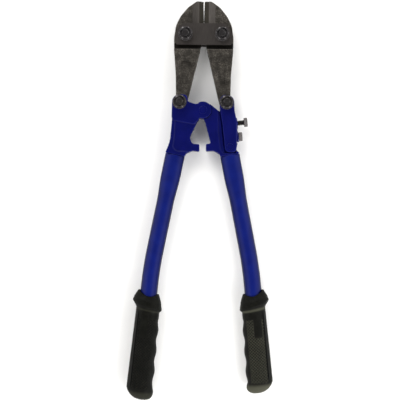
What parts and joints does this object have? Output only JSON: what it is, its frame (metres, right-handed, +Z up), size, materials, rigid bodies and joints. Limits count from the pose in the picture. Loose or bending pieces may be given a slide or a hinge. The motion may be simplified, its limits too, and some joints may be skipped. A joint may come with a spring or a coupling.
{
  "type": "bolt cutters",
  "caption": "Compound-action bolt cutters: forged dark jaws on twin straps, blue forged arms with an adjusting lug, bent tubular handles and black ribbed grips, lying flat.",
  "frame": {"origin": "under the middle of the tool's box, on the surface that the tool lies on", "axes": "+Y along the tool towards the jaws, +Z up out of the front face, +X towards the handle with the adjusting lug"},
  "size_m": [0.1672, 0.456, 0.0353],
  "materials": {
    "jaw_steel": "dark phosphated forging, with ground bevels along the cutting edges",
    "strap_steel": "dark grey, lightly ground plate",
    "black_oxide": "black oxide on bolts, nuts, washers and screws",
    "blue_paint": "glossy dark blue enamel over forgings and tube",
    "black_grip": "semi-matt black moulded vinyl with a diamond pattern"
  },
  "bodies": {
    "straps": {"front_strap": "strap_steel", "rear_strap": "strap_steel", "left_jaw_bolt": "black_oxide", "right_jaw_bolt": "black_oxide", "left_jaw_washer": "black_oxide", "right_jaw_washer": "black_oxide", "left_jaw_nut": "black_oxide", "right_jaw_nut": "black_oxide"},
    "left_jaw": {"left_jaw": "jaw_steel"},
    "right_jaw": {"right_jaw": "jaw_steel"},
    "left_handle": {"left_arm": "blue_paint", "left_tube": "blue_paint", "left_grip": "black_grip", "left_handle_bolt": "black_oxide", "left_handle_nut": "black_oxide", "left_handle_washer": "black_oxide", "centre_pin": "blue_paint"},
    "right_handle": {"right_arm": "blue_paint", "right_tube": "blue_paint", "right_grip": "black_grip", "lug_pin": "blue_paint"},
    "lug": {"adjusting_lug": "blue_paint", "right_handle_bolt": "black_oxide", "right_handle_nut": "black_oxide", "right_handle_washer": "black_oxide"},
    "adjusting_screw": {"adjusting_screw": "black_oxide"},
    "locking_screw": {"locking_screw": "black_oxide"}
  },
  "joints": [
    {"name": "handles", "type": "hinge", "parent": "left_handle", "child": "right_handle", "pos_m": [0.00043, 0.10381, 0.015], "axis": [0, 0, 1], "range_deg": [-9, 84]},
    {"name": "left_jaw_pivot", "type": "hinge", "parent": "straps", "child": "left_jaw", "pos_m": [-0.02041, 0.19021, 0.015], "axis": [0, 0, 1], "range_deg": [-0.96, 8.76]},
    {"name": "right_jaw_pivot", "type": "hinge", "parent": "straps", "child": "right_jaw", "pos_m": [0.02127, 0.19021, 0.015], "axis": [0, 0, 1], "range_deg": [-8.76, 0.96]},
    {"name": "left_handle_pivot", "type": "hinge", "parent": "left_jaw", "child": "left_handle", "pos_m": [-0.02642, 0.11261, 0.015], "axis": [0, 0, 1], "range_deg": [-50.76, 5.46]},
    {"name": "lug_pivot", "type": "hinge", "parent": "right_handle", "child": "lug", "pos_m": [0.03173, 0.06241, 0.015], "axis": [0, 0, 1], "range_deg": [-0.6, 0.6]},
    {"name": "adjusting_screw_travel", "type": "slide", "parent": "lug", "child": "adjusting_screw", "axis": [0.9945, 0.1045, 0], "range_m": [-0.0003, 0.0003]},
    {"name": "locking_screw_travel", "type": "slide", "parent": "right_handle", "child": "locking_screw", "axis": [0.9945, 0.1045, 0], "range_m": [-0.00013, 0.00013]}
  ],
  "couplings": [
    {"joint": "left_jaw_pivot", "follows": "handles", "ratio": 0.104},
    {"joint": "right_jaw_pivot", "follows": "handles", "ratio": -0.104},
    {"joint": "left_handle_pivot", "follows": "handles", "ratio": -0.604},
    {"joint": "adjusting_screw_travel", "follows": "lug_pivot", "m_per_rad": 0.0273},
    {"joint": "locking_screw_travel", "follows": "lug_pivot", "m_per_rad": -0.0116}
  ]
}
